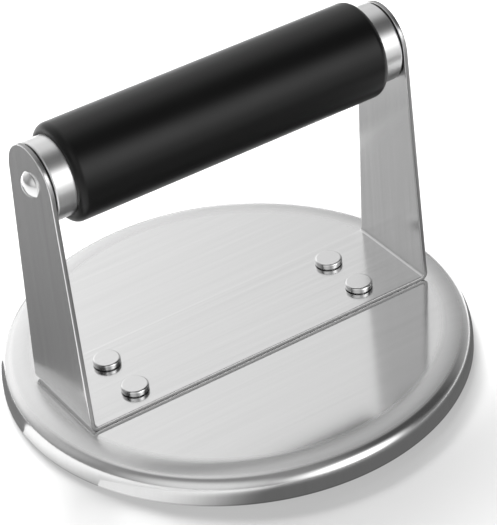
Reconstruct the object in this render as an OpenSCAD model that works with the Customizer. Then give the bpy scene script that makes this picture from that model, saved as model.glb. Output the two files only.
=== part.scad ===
// Round meat press: a heavy capped plate, a bent steel bracket riveted across it,
// and a black grip held between the bracket's legs by a tie rod with domed ends.
// The origin is the centre of the press face, +Z is up and +X runs along the grip.

/* [Plate] */
// Diameter of the press plate
plate_d = 155; // [145:1:200]
// Height of the plate, from the press face to its top
plate_t = 10.5; // [10:0.5:14]
// Radius of the gentle crown, where the flat top begins to fall towards the shoulder
crown_r = 18; // [12:0.5:24]
// Outer radius of the shoulder, where the drawn shell turns from top to wall
shoulder_r = 4.5; // [3:0.5:5]
// Radius of the curve in which the wall bulges out below the shoulder
wall_r = 8; // [7:0.5:10]
// Thickness of the drawn shell
shell_t = 0.8; // [0.6:0.1:1.2]
// Thickness of the press disc that closes the underside
disc_t = 1; // [0.8:0.1:1.4]
// Step from the shell's wall in to the edge of the press disc
disc_step = 0.3; // [0.1:0.1:0.6]

/* [Bracket] */
// Length over the outside of both legs
bracket_l = 130; // [112:1:134]
// Width of the strip that lies on the plate
strip_w = 36; // [30:1:44]
// Thickness of the bent sheet
sheet_t = 1.5; // [1.2:0.1:2]
// Outer radius of both bends
bend_r = 2.5; // [2.4:0.1:5]
// Radius of the round tops of the legs
eye_r = 13; // [12:0.5:14.5]
// Height of the grip's axis above the press face
grip_z = 94.5; // [80:0.5:110]
// Chamfer that breaks every sheet edge
edge_break = 0.25; // [0.1:0.05:0.4]

/* [Rivets] */
// Distance between the left and right rivets
rivet_pitch_x = 87; // [60:1:90]
// Distance between the front and back rivets
rivet_pitch_y = 17.5; // [14:0.5:20]
// Diameter of the flat rivet heads
rivet_head_d = 9.2; // [8:0.1:10]
// Height of the heads above the strip, with the collar under them
rivet_head_h = 2.2; // [1.6:0.1:3]
// Diameter of the rivet shanks
rivet_shank_d = 5; // [4:0.5:5.5]

/* [Grip] */
// Diameter of the black grip
grip_d = 32; // [29:0.5:36]
// Radius of the round shoulders at both ends of the grip
grip_shoulder_r = 2.6; // [0.5:0.1:2.8]
// Length of each steel ferrule, from the grip's end to its closed face
ferrule_l = 6.8; // [5:0.1:10]
// Wall of the drawn ferrules
ferrule_wall = 1; // [0.8:0.1:1.5]
// Thickness of the spacer washers, seen as the dark line beside each leg
washer_t = 0.5; // [0.3:0.1:1]
// Diameter of the tie rod
rod_d = 6; // [5:0.5:6.5]
// Diameter of the domed ends of the tie rod
dome_d = 8.8; // [8:0.1:10]
// Height of the domed ends
dome_h = 2.4; // [1.8:0.1:3]

/* [Hidden] */
$fn = 96;

// Running clearance round a shank, rod or tube, and past the end of a cut
slack = 0.1;
over = 1;

plate_r = plate_d / 2;
strip_top = plate_t + sheet_t;
// Directions, outwards and up, in which the shell faces at both ends of its shoulder
crown_end = [0.352, 0.936];
shoulder_end = [0.936, 0.352];

// The strip under the shell that the rivets pull against, in its pocket in the core
backing_t = 2;
backing_w = rivet_pitch_y + 10;
backing_l = rivet_pitch_x + 12;
backing_z = plate_t - shell_t - backing_t;

// Rivet: flat head on a narrower collar, shank, and the tail upset under the backing strip
collar_d = 7.4;
collar_h = 0.35;
rivet_edge_r = 0.7;
tail_d = 7.6;
tail_h = 1.6;
rivet_places = [for (side = [-1, 1], row = [-1, 1]) [side * rivet_pitch_x / 2, row * rivet_pitch_y / 2]];

// Legs: outline with straight sides that touch the round top
leg_outer_x = bracket_l / 2;
leg_inner_x = leg_outer_x - sheet_t;
leg_foot_z = plate_t + bend_r;
leg_rise = grip_z - leg_foot_z;
leg_reach = sqrt(leg_rise * leg_rise + strip_w * strip_w / 4);
// Angle between each leg side and the vertical, leaning in towards the top
leg_taper = atan(strip_w / 2 / leg_rise) - asin(eye_r / leg_reach);
touch_y = eye_r * cos(leg_taper);
touch_z = grip_z + eye_r * sin(leg_taper);
side_l = norm([strip_w / 2 - touch_y, touch_z - leg_foot_z]);

// Grip stack: washer, ferrule, grip, ferrule, washer, all on the spacer tube
tube_d = 10;
ferrule_end = leg_inner_x - washer_t;
grip_end = ferrule_end - ferrule_l;
ferrule_r = eye_r;
ferrule_edge_r = 0.6;
spigot_r = ferrule_r - ferrule_wall - slack;
spigot_end = ferrule_end - ferrule_wall - 0.3;
washer_d = 18;

// Half section of a disc that stands on z0, with a quarter round of edge_r at its upper edge
module shouldered_section(r, z0, z1, edge_r) {
    translate([0, z0]) square([r - edge_r, z1 - z0]);
    translate([0, z0]) square([r, z1 - z0 - edge_r]);
    translate([r - edge_r, z1 - edge_r]) intersection() {
        circle(edge_r);
        square(edge_r);
    }
}

// Sector of a circle between two directions, the first one nearer the vertical, kept above z0
module arc_sector(centre, arc_r, from, to, z0) {
    well_outside = 5 * arc_r;
    intersection() {
        translate(centre) circle(arc_r);
        translate(centre) polygon([[0, 0], well_outside * to, well_outside * from]);
        translate([0, z0]) square([plate_d, plate_d]);
    }
}

// Half section of the capped plate: flat top, gentle crown, tight shoulder, then a wall that bulges out to r
module capped_section(r, z0, z1, crown, shoulder, wall) {
    shoulder_step = (wall - shoulder) * shoulder_end;
    crown_step = (crown - shoulder) * crown_end;
    wall_centre = [r - wall, z1 - crown + crown_step.y - shoulder_step.y];
    shoulder_centre = wall_centre + shoulder_step;
    crown_centre = shoulder_centre - crown_step;
    translate([0, z0]) square([crown_centre.x, z1 - z0]);
    translate([0, z0]) square([shoulder_centre.x, shoulder_centre.y - z0]);
    translate([0, z0]) square([r, wall_centre.y - z0]);
    arc_sector(crown_centre, crown, [0, 1], crown_end, z0);
    arc_sector(shoulder_centre, shoulder, crown_end, shoulder_end, z0);
    arc_sector(wall_centre, wall, shoulder_end, [1, 0], z0);
}

// The same section upside down: the quarter round is at its lower edge
module hanging_section(r, z0, z1, edge_r) {
    translate([0, z0 + z1]) mirror([0, 1]) shouldered_section(r, z0, z1, edge_r);
}

module at_rivets() {
    for (place = rivet_places) translate(place) children();
}

// Turns a revolved piece so that its axis is the grip's, pointing to +X
module along_grip() {
    translate([0, 0, grip_z]) rotate([0, 90, 0]) children();
}

// Stainless disc that touches the meat, with a rounded lower edge
module press_disc() {
    color("gainsboro")
    rotate_extrude() hanging_section(plate_r - disc_step, 0, disc_t, disc_t / 2);
}

// Aluminium plate that gives weight and spreads heat; it fills the shell
module core_plate() {
    color("darkgray")
    difference() {
        rotate_extrude()
            capped_section(plate_r - shell_t - slack / 2, disc_t, plate_t - shell_t,
                           crown_r - shell_t, shoulder_r - shell_t, wall_r - shell_t);
        translate([0, 0, backing_z]) linear_extrude(backing_t + over)
            backing_outline(slack);
        translate([0, 0, backing_z - tail_h - 0.4]) at_rivets()
            cylinder(h = tail_h + over, d = tail_d + 1);
    }
}

// Plan of the backing strip with round corners, grown by a clearance
module backing_outline(grow) {
    corner = 4;
    long = backing_l + 2 * grow;
    wide = backing_w + 2 * grow;
    square([long, wide - 2 * corner], center = true);
    square([long - 2 * corner, wide], center = true);
    for (x = [-1, 1], y = [-1, 1])
        translate([x * (long / 2 - corner), y * (wide / 2 - corner)]) circle(corner);
}

// Steel strip inside the shell; it spreads the pull of the rivets over the thin top
module backing_strip() {
    color("slategray")
    translate([0, 0, backing_z]) difference() {
        linear_extrude(backing_t) backing_outline(0);
        translate([0, 0, -over]) at_rivets() cylinder(h = backing_t + 2 * over, d = rivet_shank_d + slack);
    }
}

// Drawn cap: brushed top, round shoulder and short wall, with four rivet holes
module top_shell() {
    color("gainsboro")
    difference() {
        rotate_extrude() difference() {
            capped_section(plate_r, disc_t, plate_t, crown_r, shoulder_r, wall_r);
            capped_section(plate_r - shell_t, disc_t - over, plate_t - shell_t,
                           crown_r - shell_t, shoulder_r - shell_t, wall_r - shell_t);
        }
        translate([0, 0, plate_t - shell_t - over]) at_rivets()
            cylinder(h = shell_t + 2 * over, d = rivet_shank_d + slack);
    }
}

// Cross section of the sheet, face at x = 0 to sheet_t, with all four corners broken
module sheet_section() {
    half = strip_w / 2;
    polygon([
        [edge_break, -half], [sheet_t - edge_break, -half],
        [sheet_t, edge_break - half], [sheet_t, half - edge_break],
        [sheet_t - edge_break, half], [edge_break, half],
        [0, half - edge_break], [0, edge_break - half],
    ]);
}

// Flat strip between the bends
module bracket_foot() {
    foot_l = bracket_l - 2 * bend_r;
    translate([-foot_l / 2, 0, strip_top]) rotate([0, 90, 0]) linear_extrude(foot_l) sheet_section();
}

// Right bend: the sheet's section turned a quarter round the bend's axis
module bracket_bend() {
    translate([leg_outer_x - bend_r, 0, plate_t + bend_r])
        rotate([90, 0, 0]) rotate([0, 0, -90])
            rotate_extrude(angle = 90) translate([bend_r - sheet_t, 0]) sheet_section();
}

// Sheet that reaches down to one sloping side of the right leg, with that side's edges broken
module leg_slab(side) {
    reach = 2 * strip_w;
    translate([leg_inner_x, side * strip_w / 2, leg_foot_z]) rotate([side * leg_taper, 0, 0])
        mirror([0, side < 0 ? 1 : 0, 0]) translate([0, 0, -over]) linear_extrude(side_l + 2 * over)
            polygon([
                [edge_break, 0], [sheet_t - edge_break, 0], [sheet_t, -edge_break],
                [sheet_t, -reach], [0, -reach], [0, -edge_break],
            ]);
}

// Round eye at the top of the right leg, its rim broken on both faces
module leg_eye() {
    translate([leg_inner_x, 0, grip_z]) rotate([0, 90, 0]) rotate_extrude()
        polygon([
            [0, 0], [eye_r - edge_break, 0], [eye_r, edge_break],
            [eye_r, sheet_t - edge_break], [eye_r - edge_break, sheet_t], [0, sheet_t],
        ]);
}

// Right leg, standing on the bend: two sloping sides that run on into the eye
module bracket_leg() {
    intersection() {
        leg_slab(-1);
        leg_slab(1);
        translate([leg_inner_x - over, -strip_w, leg_foot_z])
            cube([sheet_t + 2 * over, 2 * strip_w, touch_z - leg_foot_z]);
    }
    leg_eye();
}

// One strip of sheet bent up at both ends into legs with round eyes
module handle_bracket() {
    color("silver")
    difference() {
        union() {
            bracket_foot();
            for (end = [0, 1]) mirror([end, 0, 0]) {
                bracket_bend();
                bracket_leg();
            }
        }
        translate([0, 0, plate_t - over]) at_rivets()
            cylinder(h = sheet_t + 2 * over, d = rivet_shank_d + slack);
        translate([-bracket_l / 2 - over, 0, 0]) along_grip()
            cylinder(h = bracket_l + 2 * over, d = rod_d + slack);
    }
}

// Solid rivet: flat head with a rounded rim, collar, shank and upset tail
module rivet() {
    tail_top = -sheet_t - shell_t - backing_t;
    color("whitesmoke")
    translate([0, 0, strip_top]) rotate_extrude() {
        shouldered_section(rivet_head_d / 2, collar_h, rivet_head_h, rivet_edge_r);
        square([collar_d / 2, collar_h]);
        translate([0, tail_top]) square([rivet_shank_d / 2, -tail_top]);
        hanging_section(tail_d / 2, tail_top - tail_h, tail_top, tail_h / 2);
    }
}

// Tube between the legs; it carries the pull of the tie rod, so that the grip isn't crushed
module spacer_tube() {
    color("lightslategray")
    translate([-leg_inner_x, 0, 0]) along_grip() difference() {
        cylinder(h = 2 * leg_inner_x, d = tube_d);
        translate([0, 0, -over]) cylinder(h = 2 * (leg_inner_x + over), d = rod_d + 2 * slack);
    }
}

// Half section of the domed end, a cap of a sphere that stands on the leg's outer face
module dome_section() {
    dome_r = (dome_d * dome_d / 4 + dome_h * dome_h) / (2 * dome_h);
    intersection() {
        translate([0, dome_h - dome_r]) circle(dome_r);
        square([dome_d, dome_h]);
    }
}

// Rod through both legs and the grip, upset into a polished dome at each end
module tie_rod() {
    color("whitesmoke")
    along_grip() rotate_extrude() {
        translate([0, -bracket_l / 2]) square([rod_d / 2, bracket_l]);
        for (end = [0, 1]) mirror([0, end]) translate([0, bracket_l / 2]) dome_section();
    }
}

// Right spacer washer, narrower than the ferrule, so that a dark gap shows round it
module washer() {
    color("dimgray")
    translate([ferrule_end, 0, 0]) along_grip() difference() {
        cylinder(h = washer_t, d = washer_d);
        translate([0, 0, -over]) cylinder(h = washer_t + 2 * over, d = tube_d + slack);
    }
}

// Right ferrule: a drawn cup, open towards the grip, with a hole for the spacer tube
module ferrule() {
    color("whitesmoke")
    along_grip() rotate_extrude() difference() {
        shouldered_section(ferrule_r, grip_end, ferrule_end, ferrule_edge_r);
        translate([0, grip_end - over])
            square([ferrule_r - ferrule_wall, ferrule_l - ferrule_wall + over]);
        translate([0, grip_end]) square([(tube_d + slack) / 2, ferrule_l + over]);
    }
}

// Moulded grip: a cylinder with round shoulders and a spigot for the ferrule at each end
module grip() {
    color([0.08, 0.08, 0.08])
    along_grip() rotate_extrude() difference() {
        for (end = [0, 1]) mirror([0, end]) {
            shouldered_section(grip_d / 2, 0, grip_end, grip_shoulder_r);
            square([spigot_r, spigot_end]);
        }
        translate([0, -bracket_l]) square([tube_d / 2 + slack, 2 * bracket_l]);
    }
}

press_disc();
core_plate();
backing_strip();
top_shell();
handle_bracket();
translate(rivet_places[0]) rivet();  // rivet_front_left
translate(rivet_places[1]) rivet();  // rivet_back_left
translate(rivet_places[2]) rivet();  // rivet_front_right
translate(rivet_places[3]) rivet();  // rivet_back_right
spacer_tube();
tie_rod();
mirror([1, 0, 0]) washer();  // washer_left
washer();  // washer_right
mirror([1, 0, 0]) ferrule();  // ferrule_left
ferrule();  // ferrule_right
grip();
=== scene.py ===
# Round meat press: finishes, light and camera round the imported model
import math

import bmesh
import bpy
import numpy as np
from mathutils import Matrix, Vector


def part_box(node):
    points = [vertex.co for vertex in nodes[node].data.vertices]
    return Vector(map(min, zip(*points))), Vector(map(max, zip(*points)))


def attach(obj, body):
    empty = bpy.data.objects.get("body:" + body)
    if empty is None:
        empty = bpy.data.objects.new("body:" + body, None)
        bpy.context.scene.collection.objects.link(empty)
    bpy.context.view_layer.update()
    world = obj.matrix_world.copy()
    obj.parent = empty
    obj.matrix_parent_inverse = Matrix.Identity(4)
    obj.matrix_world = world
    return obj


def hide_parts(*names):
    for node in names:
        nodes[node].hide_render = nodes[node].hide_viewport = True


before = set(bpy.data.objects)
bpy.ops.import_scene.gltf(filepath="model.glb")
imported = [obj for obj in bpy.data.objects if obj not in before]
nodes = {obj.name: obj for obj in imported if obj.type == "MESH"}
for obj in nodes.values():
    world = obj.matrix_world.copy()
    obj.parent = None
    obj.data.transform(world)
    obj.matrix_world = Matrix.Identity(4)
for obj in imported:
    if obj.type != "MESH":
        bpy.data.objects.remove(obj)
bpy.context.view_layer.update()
mm = 0.001
print("frame:", len(nodes), "nodes")


# Camera: a long lens from the front left, a little turned about its own axis. Angles are in degrees
cameraLook = {
    "azimuth": -30.213, "elevation": 35.061, "roll": -5.500,
    "distance": 0.83523, "target": (0.00742, 0.0, 0.03327), "clip": (0.05, 20.0),
    "focalPixels": 2586.45, "imageSize": (497, 525), "sensor": 36.0,
}


# Back points from the target to the camera. Level and upright span the picture before the roll
# turns them into right and up. The lens is the focal length in pixels times the sensor's width over
# the picture's longer side
def makeCamera(look):
    azimuth, elevation, roll = (math.radians(look[k]) for k in ("azimuth", "elevation", "roll"))
    back = Vector((math.sin(azimuth) * math.cos(elevation),
                   -math.cos(azimuth) * math.cos(elevation), math.sin(elevation)))
    level = (-back).cross(Vector((0, 0, 1))).normalized()
    upright = level.cross(-back)
    right = level * math.cos(roll) + upright * math.sin(roll)
    up = upright * math.cos(roll) - level * math.sin(roll)
    data = bpy.data.cameras.new("camera")
    data.sensor_width = look["sensor"]
    data.lens = look["focalPixels"] * look["sensor"] / max(look["imageSize"])
    data.clip_start, data.clip_end = look["clip"]
    camera = bpy.data.objects.new("camera", data)
    bpy.context.scene.collection.objects.link(camera)
    turn = Matrix((right, up, back)).transposed().to_4x4()
    place = Vector(look["target"]) + back * look["distance"]
    camera.matrix_world = Matrix.Translation(place) @ turn
    bpy.context.scene.camera = camera


makeCamera(cameraLook)
bpy.context.scene.view_settings.view_transform = "Standard"
print("camera set")


# One output socket of a node tree; arithmetic on it adds Math nodes
class Wire:
    def __init__(self, tree, socket=None):
        self.tree, self.socket = tree, socket

    # Adds a node: settings first, then the values or links of its sockets
    def add(self, kind, settings=None, inputs=None, out=0):
        node = self.tree.nodes.new("ShaderNode" + kind)
        for name, value in (settings or {}).items():
            setattr(node, name, value)
        for name, value in (inputs or {}).items():
            if isinstance(value, Wire):
                self.tree.links.new(value.socket, node.inputs[name])
            else:
                node.inputs[name].default_value = value
        return Wire(self.tree, node.outputs[out] if node.outputs else None)

    # Another output of the same node
    def other(self, name):
        return Wire(self.tree, self.socket.node.outputs[name])

    # A Math node on values and numbers, in the order of its sockets
    def maths(self, operation, *terms):
        return self.add("Math", {"operation": operation}, dict(enumerate(terms)))

    def __add__(self, term):
        return self.maths("ADD", self, term)

    def __sub__(self, term):
        return self.maths("SUBTRACT", self, term)

    def __rsub__(self, term):
        return self.maths("SUBTRACT", term, self)

    def __mul__(self, term):
        return self.maths("MULTIPLY", self, term)

    def __truediv__(self, term):
        return self.maths("DIVIDE", self, term)

    def __rtruediv__(self, term):
        return self.maths("DIVIDE", term, self)

    __radd__, __rmul__ = __add__, __mul__

    # 0 below low, 1 above high, a smooth rise between them
    def rise(self, low, high):
        return self.add("MapRange", {"interpolation_type": "SMOOTHSTEP"},
                        {"Value": self, "From Min": low, "From Max": high})

    # A grey colour from a value
    def grey(self):
        return self.add("CombineColor", None, {"Red": self, "Green": self, "Blue": self})

    # x, y and z of a vector
    def split(self):
        x = self.add("SeparateXYZ", None, {"Vector": self}, out="X")
        return x, x.other("Y"), x.other("Z")


# Clears the nodes of a material or world, and gives a wire to start from
def newTree(owner):
    owner.use_nodes = True
    owner.node_tree.nodes.clear()
    return Wire(owner.node_tree)


# A material whose surface shader is what build(start, place) returns; place is Object coordinates
def newMaterial(name, build):
    material = bpy.data.materials.new(name)
    start = newTree(material)
    surface = build(start, start.add("TexCoord", out="Object"))
    start.add("OutputMaterial", None, {"Surface": surface})
    return material


# Noise pulled out along one direction, read at the place divided by size, the spacing of its
# features in mm along x, y and z
def grain(start, place, size, detail=3.0, offset=0.0, roughness=0.6):
    stretched = start.add("Mapping", {"vector_type": "POINT"}, {
        "Vector": place, "Location": (offset,) * 3, "Scale": tuple(1 / (s * mm) for s in size)})
    return start.add("TexNoise", {"noise_dimensions": "3D"}, {
        "Vector": stretched, "Scale": 1.0, "Detail": detail, "Roughness": roughness})


# Brushed steel: fine and broad lines along the brushing move its brightness, its roughness and its
# normal. Lines is the sum of what each adds round its mean of 0.5, the brightness is base times
# 1 + contrast times lines, and the bump's height is the mean of both
brushLook = {"fineDetail": 2.0, "broadOffset": 7.0}


def brushed(start, place, look, rougher=0.0):
    fine = grain(start, place, look["fine"], detail=brushLook["fineDetail"])
    broad = grain(start, place, look["broad"], offset=brushLook["broadOffset"])
    lines = (fine - 0.5) * look["fineShare"] + (broad - 0.5) * look["broadShare"]
    bump = start.add("Bump", None, {
        "Strength": 1.0, "Distance": look["depth"] * mm, "Height": fine * 0.5 + broad * 0.5})
    return start.add("BsdfPrincipled", None, {
        "Base Color": ((lines * look["contrast"] + 1.0) * look["base"]).grey(),
        "Metallic": 1.0,
        "Roughness": lines * look["roughSpread"] + look["roughness"] + rougher,
        "Anisotropic": look.get("anisotropic", 0.0),
        "Normal": bump,
    })


# Polished steel: nearly a mirror, with faint wipe marks that move the same three
def polished(start, place, look):
    wipe = grain(start, place, look["size"])
    bump = start.add("Bump", None, {
        "Strength": 1.0, "Distance": look["depth"] * mm, "Height": wipe})
    return start.add("BsdfPrincipled", None, {
        "Base Color": (((wipe - 0.5) * look["contrast"] + 1.0) * look["base"]).grey(),
        "Metallic": 1.0,
        "Roughness": (wipe - 0.5) * look["roughSpread"] + look["roughness"],
        "Normal": bump,
    })


# Meshes, in mm and degrees: support is how far from an arc's end a point keeps the flat beside it
# shaded flat, merge is the gap that closes seams and poles, and sharp is the angle of a hard edge
meshLook = {"support": 0.03, "merge": 0.0005, "sharp": 40}


# Corners of an outline, each (across, along, fillet), joined by straight runs; every fillet is an
# arc that touches both runs at fillet / tan(half the corner's angle) from the corner, with a
# supporting point just past each of its ends
def roundedOutline(corners, closed=False, steps=6):
    corners = [np.array(corner, float) for corner in corners]
    count, support = len(corners), meshLook["support"]
    parts = []
    for i, (here, fillet) in enumerate((corner[:2], corner[2]) for corner in corners):
        if fillet == 0 or (not closed and i in (0, count - 1)):
            parts.append(here[None])
            continue
        before = corners[i - 1][:2] - here
        after = corners[(i + 1) % count][:2] - here
        before, after = before / np.linalg.norm(before), after / np.linalg.norm(after)
        half = math.acos(np.clip(before @ after, -1, 1)) / 2
        reach = fillet / math.tan(half)
        middle = (before + after) / np.linalg.norm(before + after)
        centre = here + middle * fillet / math.sin(half)
        share = np.linspace(-1, 1, steps + 1)[:, None] * (math.pi / 2 - half)
        side = (after - before) / np.linalg.norm(after - before)
        bow = centre + fillet * (side * np.sin(share) - middle * np.cos(share))
        parts += [here + before * (reach + support), bow, here + after * (reach + support)]
    return np.vstack([np.atleast_2d(part) for part in parts])


# An arc from one angle to another, in degrees from the outward direction: the centre plus the
# radius times the angle's cosine outward and its sine upward
def arc(centre, radius, start, end, steps):
    turn = np.radians(np.linspace(start, end, steps + 1))
    return np.column_stack((centre[0] + radius * np.cos(turn), centre[1] + radius * np.sin(turn)))


# Turned surface: each outline point (radius, height) goes round a full circle in equal sectors, to
# radius times the angle's cosine and sine, at its height. With alongX the axis is the grip's
# instead of the vertical
def turned(outline, sectors=192, alongX=False):
    angle = np.arange(sectors) * 2 * math.pi / sectors
    radius, height = outline[:, :1], outline[:, 1:]
    ring = np.stack(np.broadcast_arrays(
        radius * np.cos(angle), radius * np.sin(angle), height), axis=-1)
    return ring[..., (2, 0, 1)] if alongX else ring


# Puts a grid of points, in mm, into a mesh: rows are joined in turn, every row is a closed ring,
# and closed joins the last row to the first. The piece replaces the node and rides on the one body
def makePiece(name, grid, material, node, closed=False, shift=(0, 0, 0)):
    rows, columns = grid.shape[:2]
    index = np.arange(rows * columns).reshape(rows, columns)
    first = index if closed else index[:-1]
    second = np.roll(index, -1, axis=0) if closed else index[1:]
    faces = np.stack((first, second, np.roll(second, -1, axis=1), np.roll(first, -1, axis=1)),
                     axis=-1)
    mesh = bpy.data.meshes.new(name)
    points = (grid.reshape(-1, 3) + shift) * mm
    mesh.from_pydata(points.tolist(), [], faces.reshape(-1, 4).tolist())
    work = bmesh.new()
    work.from_mesh(mesh)
    bmesh.ops.remove_doubles(work, verts=work.verts, dist=meshLook["merge"] * mm)
    if work.calc_volume(signed=True) < 0:
        bmesh.ops.reverse_faces(work, faces=work.faces)
    work.to_mesh(mesh)
    work.free()
    mesh.shade_smooth()
    mesh.set_sharp_from_angle(angle=math.radians(meshLook["sharp"]))
    mesh.materials.append(material)
    piece = bpy.data.objects.new(name, mesh)
    bpy.context.scene.collection.objects.link(piece)
    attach(piece, "root")
    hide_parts(node)
    print("made", name)
    return piece


# Lowest and highest corner of a node, in mm
def boxMm(node):
    return [np.array(corner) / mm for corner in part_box(node)]


# Height of the grip's axis through a node, and the node's radius round it
def aroundGrip(low, high):
    return (low[2] + high[2]) / 2, (high[2] - low[2]) / 2


# Capped plate: a flat top brushed along x, a gentle crown, a tight shoulder and a wall that bulges
# out. Changes are the angles above the outward direction at which crown meets shoulder and shoulder
# meets wall. Satin is what the crown's roughness gains, up to satinEnd. Places are distances from
# the middle
shellGrain = {"fine": (60, 0.30, 60), "broad": (90, 2.2, 90), "fineShare": 0.6, "broadShare": 0.8,
              "depth": 0.002}
shellLook = {
    "crown": 18.0, "shoulder": 4.5, "wall": 8.0, "changes": (69.39, 20.61), "sheet": 0.8,
    "lip": 0.12, "flatRings": (8.0, 0.05), "steps": (14, 24, 10), "innerSteps": (6, 12, 6),
    "lipSteps": 4, "sectors": 320,
    "top": {"base": 0.74, "roughness": 0.12, "roughSpread": 0.04, "contrast": 0.12, **shellGrain},
    "rim": {"base": 0.74, "roughness": 0.18, "roughSpread": 0.05, "contrast": 0.10, **shellGrain},
    "blend": (66.0 * mm, 69.5 * mm), "satin": 0.22, "satinEnd": (72.5 * mm, 75.0 * mm),
}


# Outside from the middle of the top to the foot of the wall, round the lip, and back up inside.
# The three arcs meet with common tangents, so two centres are the difference of their radii apart,
# along the direction of the change between them
def shellOutline(look):
    low, high = boxMm("top_shell")
    outer, bottom, top = high[0], low[2], high[2]
    crown, shoulder, wall = look["crown"], look["shoulder"], look["wall"]
    sheet, lip = look["sheet"], look["lip"]
    upper, lower = look["changes"]
    crownStep, shoulderStep = (
        gap * np.array((math.cos(math.radians(angle)), math.sin(math.radians(angle))))
        for gap, angle in ((crown - shoulder, upper), (wall - shoulder, lower)))
    wallCentre = np.array((outer - wall, top - crown + crownStep[1] - shoulderStep[1]))
    shoulderCentre = wallCentre + shoulderStep
    crownCentre = shoulderCentre - crownStep
    flatEnd = crownCentre[0]
    crownSteps, shoulderSteps, wallSteps = look["steps"]
    crownInner, shoulderInner, wallInner = look["innerSteps"]
    return np.vstack((
        [(0, top)], [(flatEnd - ring, top) for ring in look["flatRings"]],
        arc(crownCentre, crown, 90, upper, crownSteps),
        arc(shoulderCentre, shoulder, upper, lower, shoulderSteps)[1:],
        arc(wallCentre, wall, lower, 0, wallSteps)[1:],
        [(outer, bottom + lip + meshLook["support"])],
        arc((outer - lip, bottom + lip), lip, 0, -90, look["lipSteps"]),
        arc((outer - sheet + lip, bottom + lip), lip, -90, -180, look["lipSteps"]),
        arc(wallCentre, wall - sheet, 0, lower, wallInner),
        arc(shoulderCentre, shoulder - sheet, lower, upper, shoulderInner)[1:],
        arc(crownCentre, crown - sheet, upper, 90, crownInner)[1:],
        [(0, top - sheet)]))


# The top's finish gives way to the rim's by the distance from the middle, the root of x squared
# plus y squared
def shellSurface(start, place):
    x, y = place.split()[:2]
    radius = start.maths("SQRT", x * x + y * y)
    satin = (1 - radius.rise(*shellLook["satinEnd"])) * shellLook["satin"]
    return start.add("MixShader", None, {
        0: radius.rise(*shellLook["blend"]),
        1: brushed(start, place, shellLook["top"]),
        2: brushed(start, place, shellLook["rim"], satin)})


makePiece("cappedShell", turned(shellOutline(shellLook), shellLook["sectors"]),
          newMaterial("brushedShell", shellSurface), "top_shell")


# Press disc: the face that meets the meat, with a rounded lower edge
discLook = {
    "edge": 0.5, "upperEdge": 0.05, "sectors": 320, "base": 0.60, "roughness": 0.22,
    "roughSpread": 0.06, "contrast": 0.10, "depth": 0.003, "size": (40, 0.4, 40),
}


# The outline runs from the middle of the upper face, over both edges, to the middle of the lower
def makeDisc(look):
    low, high = boxMm("press_disc")
    outline = roundedOutline([
        (0, high[2], 0), (high[0], high[2], look["upperEdge"]), (high[0], low[2], look["edge"]),
        (0, low[2], 0)])
    material = newMaterial("groundDisc", lambda start, place: polished(start, place, look))
    makePiece("pressFace", turned(outline, look["sectors"]), material, "press_disc")


makeDisc(discLook)


# Bent bracket: one strip of sheet, brushed lengthwise, so the lines run along x and then up the
# legs. Its cut edges are duller: facing is how square to a cut direction they lie, and fade is how
# far above the bend z starts to count as one. Steps are points along foot, bend, leg and eye
bracketLook = {
    "sheet": 1.5, "bend": 2.5, "eye": 13.0, "edge": 0.3, "steps": (14, 13, 13, 41),
    "across": (0.0, 0.25, 0.5, 0.75, 0.97), "edgeSteps": 4,
    "finish": {"base": 0.73, "roughness": 0.17, "roughSpread": 0.05, "contrast": 0.18,
               "depth": 0.002, "fine": (60, 0.28, 60), "broad": (90, 1.8, 90),
               "fineShare": 0.6, "broadShare": 0.8, "anisotropic": 0.4},
    "cut": {"base": 0.34, "roughness": 0.42, "contrast": 0.3, "size": (0.5, 0.5, 0.5),
            "facing": (0.75, 0.95), "fade": 1.0},
    "farTexture": 1000,
}


# Right half of the flat blank as rows of (distance from the middle, half width, outward direction):
# straight to the end of the bend, then sloping in to touch the eye, then round the eye to its top
def blankEdge(look):
    low, high = boxMm("handle_bracket")
    bend, radius = look["bend"], look["eye"]
    footSteps, bendSteps, legSteps, eyeSteps = look["steps"]
    wide, bendStart = high[1], high[0] - bend
    bendEnd = bendStart + bend * math.pi / 2
    rise = high[2] - radius - low[2] - bend
    taper = math.atan(wide / rise) - math.asin(radius / math.hypot(rise, wide))
    square = math.pi / 2
    along = np.concatenate((np.linspace(0, bendStart, footSteps),
                            np.linspace(bendStart, bendEnd, bendSteps)[1:]))
    straight = np.column_stack((along, np.full_like(along, wide), np.full_like(along, square)))
    share = np.linspace(0, 1, legSteps)[1:, None]
    touch = np.array((bendEnd + rise + radius * math.sin(taper), radius * math.cos(taper)))
    slope = np.hstack(((1 - share) * (bendEnd, wide) + share * touch,
                       np.full_like(share, square - taper)))
    turn = np.linspace(taper, square, eyeSteps)[1:]
    eye = np.column_stack((bendEnd + rise + radius * np.sin(turn), radius * np.cos(turn),
                           square - turn))
    return np.vstack((straight, slope, eye)), bendStart, bendEnd, low[2]


# Folds the blank: distance from the middle, across, and depth from the outer face, to x, y, z.
# Past the bend's start the sheet turns a quarter round the bend's axis and then runs straight up
def foldBlank(along, across, depth, bend, bendStart, bendEnd, foot):
    distance = np.abs(along)
    turn = np.clip((distance - bendStart) / bend, 0, math.pi / 2)
    x = np.minimum(distance, bendStart) + (bend - depth) * np.sin(turn)
    z = foot + bend - (bend - depth) * np.cos(turn) + np.maximum(distance - bendEnd, 0)
    return np.stack((np.sign(along) * x, np.broadcast_to(across, x.shape), z), axis=-1)


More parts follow.
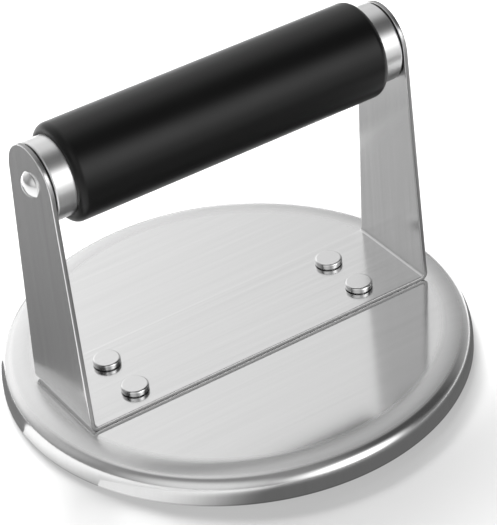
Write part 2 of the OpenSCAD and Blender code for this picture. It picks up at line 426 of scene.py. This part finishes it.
# Section of the sheet as a ring of (share of the half width, inset from the edge, depth from the
# outer face): from the middle of the inner face round one edge to the outer face, then mirrored
def sheetSection(look):
    edge, sheet, inner = look["edge"], look["sheet"], np.array(look["across"])
    quarter = np.radians(np.linspace(0, 90, look["edgeSteps"] + 1))
    flat, turn = np.ones(len(inner)), np.ones(2 * len(quarter))
    share = np.concatenate((inner, turn, inner[::-1]))
    inset = np.concatenate((-edge * flat, edge * (np.sin(quarter) - 1),
                            edge * (np.cos(quarter) - 1), -edge * flat))
    depth = np.concatenate((sheet * flat, sheet - edge + edge * np.cos(quarter),
                            edge - edge * np.sin(quarter), 0 * flat))
    return (np.concatenate((share, -share[-2:0:-1])), np.concatenate((inset, inset[-2:0:-1])),
            np.concatenate((depth, depth[-2:0:-1])))


# Cut edges are found by their normals, which lie along y everywhere or, on the straight legs and
# round the eyes, along z
def bracketSurface(start, place):
    cut, bendTop = bracketLook["cut"], boxMm("handle_bracket")[0][2] + bracketLook["bend"]
    normalY, normalZ = start.add("NewGeometry", out="Normal").split()[1:]
    z = place.split()[2]
    onLeg = z.rise(bendTop * mm, (bendTop + cut["fade"]) * mm)
    acrossY, acrossZ = start.maths("ABSOLUTE", normalY), start.maths("ABSOLUTE", normalZ)
    isCut = start.maths("MAXIMUM", acrossY, acrossZ * onLeg).rise(*cut["facing"])
    cloud = grain(start, place, cut["size"])
    sheared = start.add("BsdfPrincipled", None, {
        "Base Color": (((cloud - 0.5) * cut["contrast"] + 1.0) * cut["base"]).grey(),
        "Metallic": 1.0, "Roughness": cut["roughness"]})
    return start.add("MixShader", None, {
        0: isCut, 1: brushed(start, place, bracketLook["finish"]), 2: sheared})


# Every row of the blank's edge carries one section. A texture space far out along x turns the
# shader's own tangent to y, across the brushing
def makeBracket(look):
    half, bendStart, bendEnd, foot = blankEdge(look)
    rows = np.vstack((half[:0:-1] * (-1, 1, 1), half))
    side = np.where(np.arange(len(rows)) < len(half) - 1, -1.0, 1.0)
    along, wide = rows[:, :1], rows[:, 1:2]
    outward = np.column_stack((side * np.cos(rows[:, 2]), np.sin(rows[:, 2])))
    share, inset, depth = sheetSection(look)
    grid = foldBlank(along + inset * outward[:, :1], share * (wide + inset * outward[:, 1:]),
                     np.broadcast_to(depth, (len(rows), len(depth))),
                     look["bend"], bendStart, bendEnd, foot)
    piece = makePiece("bentBracket", grid, newMaterial("brushedBracket", bracketSurface),
                      "handle_bracket")
    piece.data.use_auto_texspace = False
    piece.data.texspace_location = (look["farTexture"], 0, 0)
    piece.data.texspace_size = (1, 1, 1)


makeBracket(bracketLook)


# Rivets: flat head with a small round at its rim, collar, shank and upset tail
rivetLook = {
    "rim": 0.7, "lowerRim": 0.1, "collar": 3.7, "collarHeight": 0.35, "shank": 2.5,
    "tail": 3.8, "tailHeight": 1.6, "tailRim": 0.7, "sectors": 96,
    "base": 0.73, "roughness": 0.18, "roughSpread": 0.05, "contrast": 0.08, "depth": 0.001,
    "size": (20, 0.5, 20),
}


# Each outline runs from the middle of the head over its rim, in to the collar and the shank, and
# out again round the tail. It is turned about the middle of its own node
def makeRivets(look):
    material = newMaterial("polishedRivet", lambda start, place: polished(start, place, look))
    sheetTop = boxMm("handle_bracket")[0][2] + bracketLook["sheet"]
    headFoot = sheetTop + look["collarHeight"]
    for side in ("front_left", "front_right", "back_left", "back_right"):
        low, high = boxMm("rivet_" + side)
        radius, middle = (high[0] - low[0]) / 2, (low + high) / 2
        tailTop = low[2] + look["tailHeight"]
        outline = roundedOutline([
            (0, high[2], 0), (radius, high[2], look["rim"]), (radius, headFoot, look["lowerRim"]),
            (look["collar"], headFoot, 0), (look["collar"], sheetTop, 0),
            (look["shank"], sheetTop, 0), (look["shank"], tailTop, 0),
            (look["tail"], tailTop, 0), (look["tail"], low[2], look["tailRim"]), (0, low[2], 0)])
        makePiece("rivet" + side.title().replace("_", ""), turned(outline, look["sectors"]),
                  material, "rivet_" + side, shift=(middle[0], middle[1], 0))


makeRivets(rivetLook)


# Tie rod with a polished dome at each end: a cap of a sphere on the leg's outer face
rodLook = {
    "rod": 3.0, "capSteps": 24, "sectors": 96, "base": 0.78, "roughness": 0.2,
    "roughSpread": 0.04, "contrast": 0.06, "depth": 0.002, "size": (3, 3, 3),
}


# A cap of this radius and rise is part of a sphere whose radius is the sum of their squares over
# twice the rise. The outline is a cap, the rod and the same cap mirrored
def makeRod(look):
    low, high = boxMm("tie_rod")
    axis, radius = aroundGrip(low, high)
    legFace, reach = boxMm("handle_bracket")[1][0], high[0]
    rise = reach - legFace
    sphere = (radius ** 2 + rise ** 2) / (2 * rise)
    lowAngle = math.degrees(math.asin((sphere - rise) / sphere))
    cap = arc((0, reach - sphere), sphere, 90, lowAngle, look["capSteps"])
    rod = [(look["rod"], legFace), (look["rod"], -legFace)]
    outline = np.vstack((cap, rod, (cap * (1, -1))[::-1]))
    outline[0, 0] = outline[-1, 0] = 0
    material = newMaterial("polishedDome", lambda start, place: polished(start, place, look))
    makePiece("domedRod", turned(outline, look["sectors"], alongX=True), material,
              "tie_rod", shift=(0, 0, axis))


makeRod(rodLook)


# Ferrules: drawn cups that face the grip, with a round edge beside the leg
ferruleLook = {
    "edge": 0.6, "mouth": 0.1, "wall": 1.0, "bore": 5.05, "base": 0.72, "roughness": 0.30,
    "roughSpread": 0.06, "contrast": 0.08, "depth": 0.001, "size": (0.4, 20, 20),
}


# The outline goes from the mouth along the outside, round the edge to the bore, and back along the
# floor and the inside
def makeFerrules(look):
    material = newMaterial("chromedFerrule", lambda start, place: polished(start, place, look))
    for side, sign in (("left", -1), ("right", 1)):
        low, high = boxMm("ferrule_" + side)
        axis, radius = aroundGrip(low, high)
        near, far = sorted((abs(low[0]), abs(high[0])))
        inside, floor = radius - look["wall"], far - look["wall"]
        outline = roundedOutline([
            (radius, near, look["mouth"]), (radius, far, look["edge"]), (look["bore"], far, 0),
            (look["bore"], floor, 0), (inside, floor, 0), (inside, near, look["mouth"])],
            closed=True)
        makePiece("ferrule" + side.title(), turned(outline * (1, sign), alongX=True), material,
                  "ferrule_" + side, closed=True, shift=(0, 0, axis))


makeFerrules(ferruleLook)


# Black grip: satin moulded plastic with a very fine texture, round shoulders and a spigot at each
# end. Pores darken and dent it, and a slow cloud moves its roughness
gripLook = {
    "shoulder": 2.6, "length": 56.2, "spigot": 11.9, "fillet": 0.15, "bore": 5.1, "steps": 14,
    "base": 0.001, "index": 1.38, "roughness": 0.34, "roughSpread": 0.08, "depth": 0.004,
    "pores": (0.35, 0.35, 0.35), "poreShade": (0.7, 0.6), "cloud": (14, 14, 14),
    "detail": 2.0, "cloudOffset": 3.0,
}


def gripSurface(start, place):
    look = gripLook
    pores = grain(start, place, look["pores"], look["detail"])
    cloud = grain(start, place, look["cloud"], look["detail"], look["cloudOffset"])
    bump = start.add("Bump", None, {
        "Strength": 1.0, "Distance": look["depth"] * mm, "Height": pores})
    darkest, gain = look["poreShade"]
    return start.add("BsdfPrincipled", None, {
        "Base Color": ((pores * gain + darkest) * look["base"]).grey(),
        "Roughness": (cloud - 0.5) * look["roughSpread"] + look["roughness"],
        "IOR": look["index"], "Normal": bump})


# The right half's outline goes out of the bore, over the end and along the spigot to the shoulder.
# The left half mirrors it, and the closing run is the bore
def makeGrip(look):
    low, high = boxMm("grip")
    axis, radius = aroundGrip(low, high)
    reach, length, spigot, bore = high[0], look["length"], look["spigot"], look["bore"]
    right = [(bore, reach, 0), (spigot, reach, 0), (spigot, length, look["fillet"]),
             (radius, length, look["shoulder"])]
    left = [(across, -along, fillet) for across, along, fillet in reversed(right)]
    outline = roundedOutline(right + left, closed=True, steps=look["steps"])
    makePiece("mouldedGrip", turned(outline, alongX=True), newMaterial("satinBlack", gripSurface),
              "grip", closed=True, shift=(0, 0, axis))


makeGrip(gripLook)


# Dull metal of the nodes that keep their CAD solids: washers, tube, backing strip and core. Steel
# and aluminium are (base, roughness)
hiddenLook = {"size": (4, 4, 4), "detail": 4.0, "contrast": 0.3, "roughSpread": 0.1,
              "steel": (0.10, 0.45), "aluminium": (0.55, 0.5)}


def dress(name, metal, dressed):
    def dull(start, place):
        base, roughness = hiddenLook[metal]
        cloud = grain(start, place, hiddenLook["size"], hiddenLook["detail"])
        shade = (cloud - 0.5) * hiddenLook["contrast"] + 1.0
        return start.add("BsdfPrincipled", None, {
            "Base Color": (shade * base).grey(), "Metallic": 1.0,
            "Roughness": cloud * hiddenLook["roughSpread"] + roughness})

    material = newMaterial(name, dull)
    for node in dressed:
        for slot in nodes[node].material_slots:
            slot.material = material


dress("dullSteel", "steel", ("washer_left", "washer_right", "spacer_tube", "backing_strip"))
dress("castAluminium", "aluminium", ("core_plate",))
print("pieces made")


# A flat polygon in the scene that isn't part of the object
def makeStage(name, corners, build):
    mesh = bpy.data.meshes.new(name)
    mesh.from_pydata(corners, [], [tuple(range(len(corners)))])
    mesh.materials.append(newMaterial(name, build))
    sheet = bpy.data.objects.new(name, mesh)
    bpy.context.scene.collection.objects.link(sheet)
    return sheet


# Floor: a plain pale plane that takes the shadow. Lift is the light that it adds where the camera
# or a reflection sees it
floorLook = {"size": 4.0, "albedo": 0.15, "lift": 0.42}


def floorSurface(start, place):
    paths = start.add("LightPath", out="Is Camera Ray")
    seen = paths + paths.other("Is Glossy Ray") + paths.other("Is Transmission Ray")
    matt = start.add("BsdfDiffuse", None, {"Color": (floorLook["albedo"],) * 3 + (1,)})
    glow = start.add("Emission", None, {
        "Color": (1, 1, 1, 1), "Strength": seen * floorLook["lift"]})
    return start.add("AddShader", None, {0: matt, 1: glow})


half = floorLook["size"] / 2
makeStage("paleFloor", [(-half, -half, 0), (half, -half, 0), (half, half, 0), (-half, half, 0)],
          floorSurface)


# Glowing sheets on the floor that only reflections show and that light nothing. Beside the left leg
# and behind the plate they are painted reflections of a greyer floor. Well in front of the plate
# and close to its rim they paint the floor's shadow into the reflections; the one at the rim runs
# from lit floor on its left to painted shadow on its right. Along its axis each card's level
# changes from the first to the second between its two places. Near the plate it is darker, a
# painted contact shadow which fades between the two distances from the middle that are given as
# farther
cardLook = {
    "height": 0.0003, "farther": (0.088, 0.120),
    "leftCard": {
        "corners": [(-0.077, 0.008), (-0.064, 0.044), (-0.130, 0.240), (-0.200, 0.130)],
        "axis": 1, "places": (0.03, 0.13), "levels": (0.24, 0.30), "paintedShadeNearPlate": 0},
    "backCard": {
        "corners": [(-0.045, 0.082), (0.060, 0.082), (0.060, 0.200), (-0.090, 0.200)],
        "axis": 1, "places": (0.08, 0.13), "levels": (0.48, 0.66), "paintedShadeNearPlate": 0},
    "frontShadowCard": {
        "corners": [(-0.060, -0.120), (-0.060, -0.280), (0.240, -0.280), (0.240, -0.120)],
        "axis": 0, "places": (0.0, 0.1), "levels": (0.30, 0.30), "paintedShadeNearPlate": 0},
    "rimShadowCard": {
        "corners": [(-0.075, -0.030), (-0.085, -0.119), (0.120, -0.119), (0.120, -0.030),
                    (0.074, -0.016)],
        "axis": 0, "places": (-0.068, -0.036), "levels": (1.18, 0.31), "paintedShadeNearPlate": 0.15},
}


# Level is first + (second - first) times the rise between the places, less the painted shade near
# the plate times what is left of the rise between the farther distances
def makeCard(name, look):
    card = look[name]
    first, second = card["levels"]

    def surface(start, place):
        place = place.split()
        radius = start.maths("SQRT", place[0] * place[0] + place[1] * place[1])
        level = place[card["axis"]].rise(*card["places"]) * (second - first) + first
        # Painted contact shadow: the level drops close to the plate and fades out between the
        # farther distances
        level = level + (radius.rise(*look["farther"]) - 1) * card["paintedShadeNearPlate"]
        return start.add("Emission", None, {"Color": level.grey(), "Strength": 1.0})

    sheet = makeStage(name, [(x, y, look["height"]) for x, y in card["corners"]], surface)
    # Each sheet glows at its painted level and is seen only in reflections: it lights nothing and
    # casts no shadow
    sheet.visible_camera = sheet.visible_diffuse = False
    sheet.visible_shadow = sheet.visible_transmission = False


for cardName in ("leftCard", "backCard", "frontShadowCard", "rimShadowCard"):
    makeCard(cardName, cardLook)
print("floor and cards set")


# Light: an even soft studio with a few broad panels. Each panel is (direction from +x, height, half
# angle out to which it is full, half angle at which it has faded, level added), in degrees. A
# negative level is a dark flag
studioLook = {
    "level": 0.36,
    "panels": {
        "backBox": (89, 17, 10, 46, 1.10),
        "backTop": (68, 38, 8, 34, 0.38),
        "topBox": (92, 70, 6, 27, 0.82),
        "rightTop": (38, 54, 6, 26, 0.55),
        "rightGlow": (20, 13, 10, 36, 0.32),
        "rightFlag": (-11, 39, 20, 46, -0.26),
        "frontStrip": (-76, 13, 10, 37, 1.8),
        "frontBand": (-66, 26, 6, 26, 1.30),
        "leftBox": (-142, 26, 10, 45, 0.75),
        "leftBack": (134, 28, 10, 36, 0.30),
    },
}


# The unit vector towards a direction and a height, in degrees
def spherical(angle, height):
    a, h = math.radians(angle), math.radians(height)
    return Vector((math.cos(a) * math.cos(h), math.sin(a) * math.cos(h), math.sin(h)))


# The level in a direction is the even level plus each panel's share, by the angle away from it as
# a part of half a turn
def makeStudio(look):
    world = bpy.data.worlds.new("studio")
    start = newTree(world)
    direction = start.add("TexCoord", out="Generated")
    level = look["level"]
    for angle, height, full, faded, added in look["panels"].values():
        towards = start.add("VectorMath", {"operation": "DOT_PRODUCT"}, {
            0: direction, 1: tuple(spherical(angle, height))}, out="Value")
        away = start.maths("ARCCOSINE", towards) / math.pi
        level = level + (1 - away.rise(full / 180, faded / 180)) * added
    background = start.add("Background", None, {"Strength": start.maths("MAXIMUM", level, 0.0)})
    start.add("OutputWorld", None, {"Surface": background})
    bpy.context.scene.world = world


makeStudio(studioLook)


# Two soft lamps behind the press: they give the floor its light and the shadow at the front. Each
# is (direction from +x, height, size, power)
lampLook = {"distance": 1.2, "lamps": {"highLamp": (86, 48, 0.50, 60),
                                       "lowLamp": (64, 44, 0.60, 56)}}


# A lamp stands at the distance times the unit vector of its direction, and faces the object
def makeLamps(look):
    for name, (angle, height, size, power) in look["lamps"].items():
        data = bpy.data.lights.new(name, "AREA")
        data.shape, data.size, data.energy = "DISK", size, power
        lamp = bpy.data.objects.new(name, data)
        bpy.context.scene.collection.objects.link(lamp)
        aim = spherical(angle, height)
        turn = aim.to_track_quat("Z", "Y").to_matrix().to_4x4()
        lamp.matrix_world = Matrix.Translation(aim * look["distance"]) @ turn
        lamp.visible_glossy = False


makeLamps(lampLook)
print("light set")
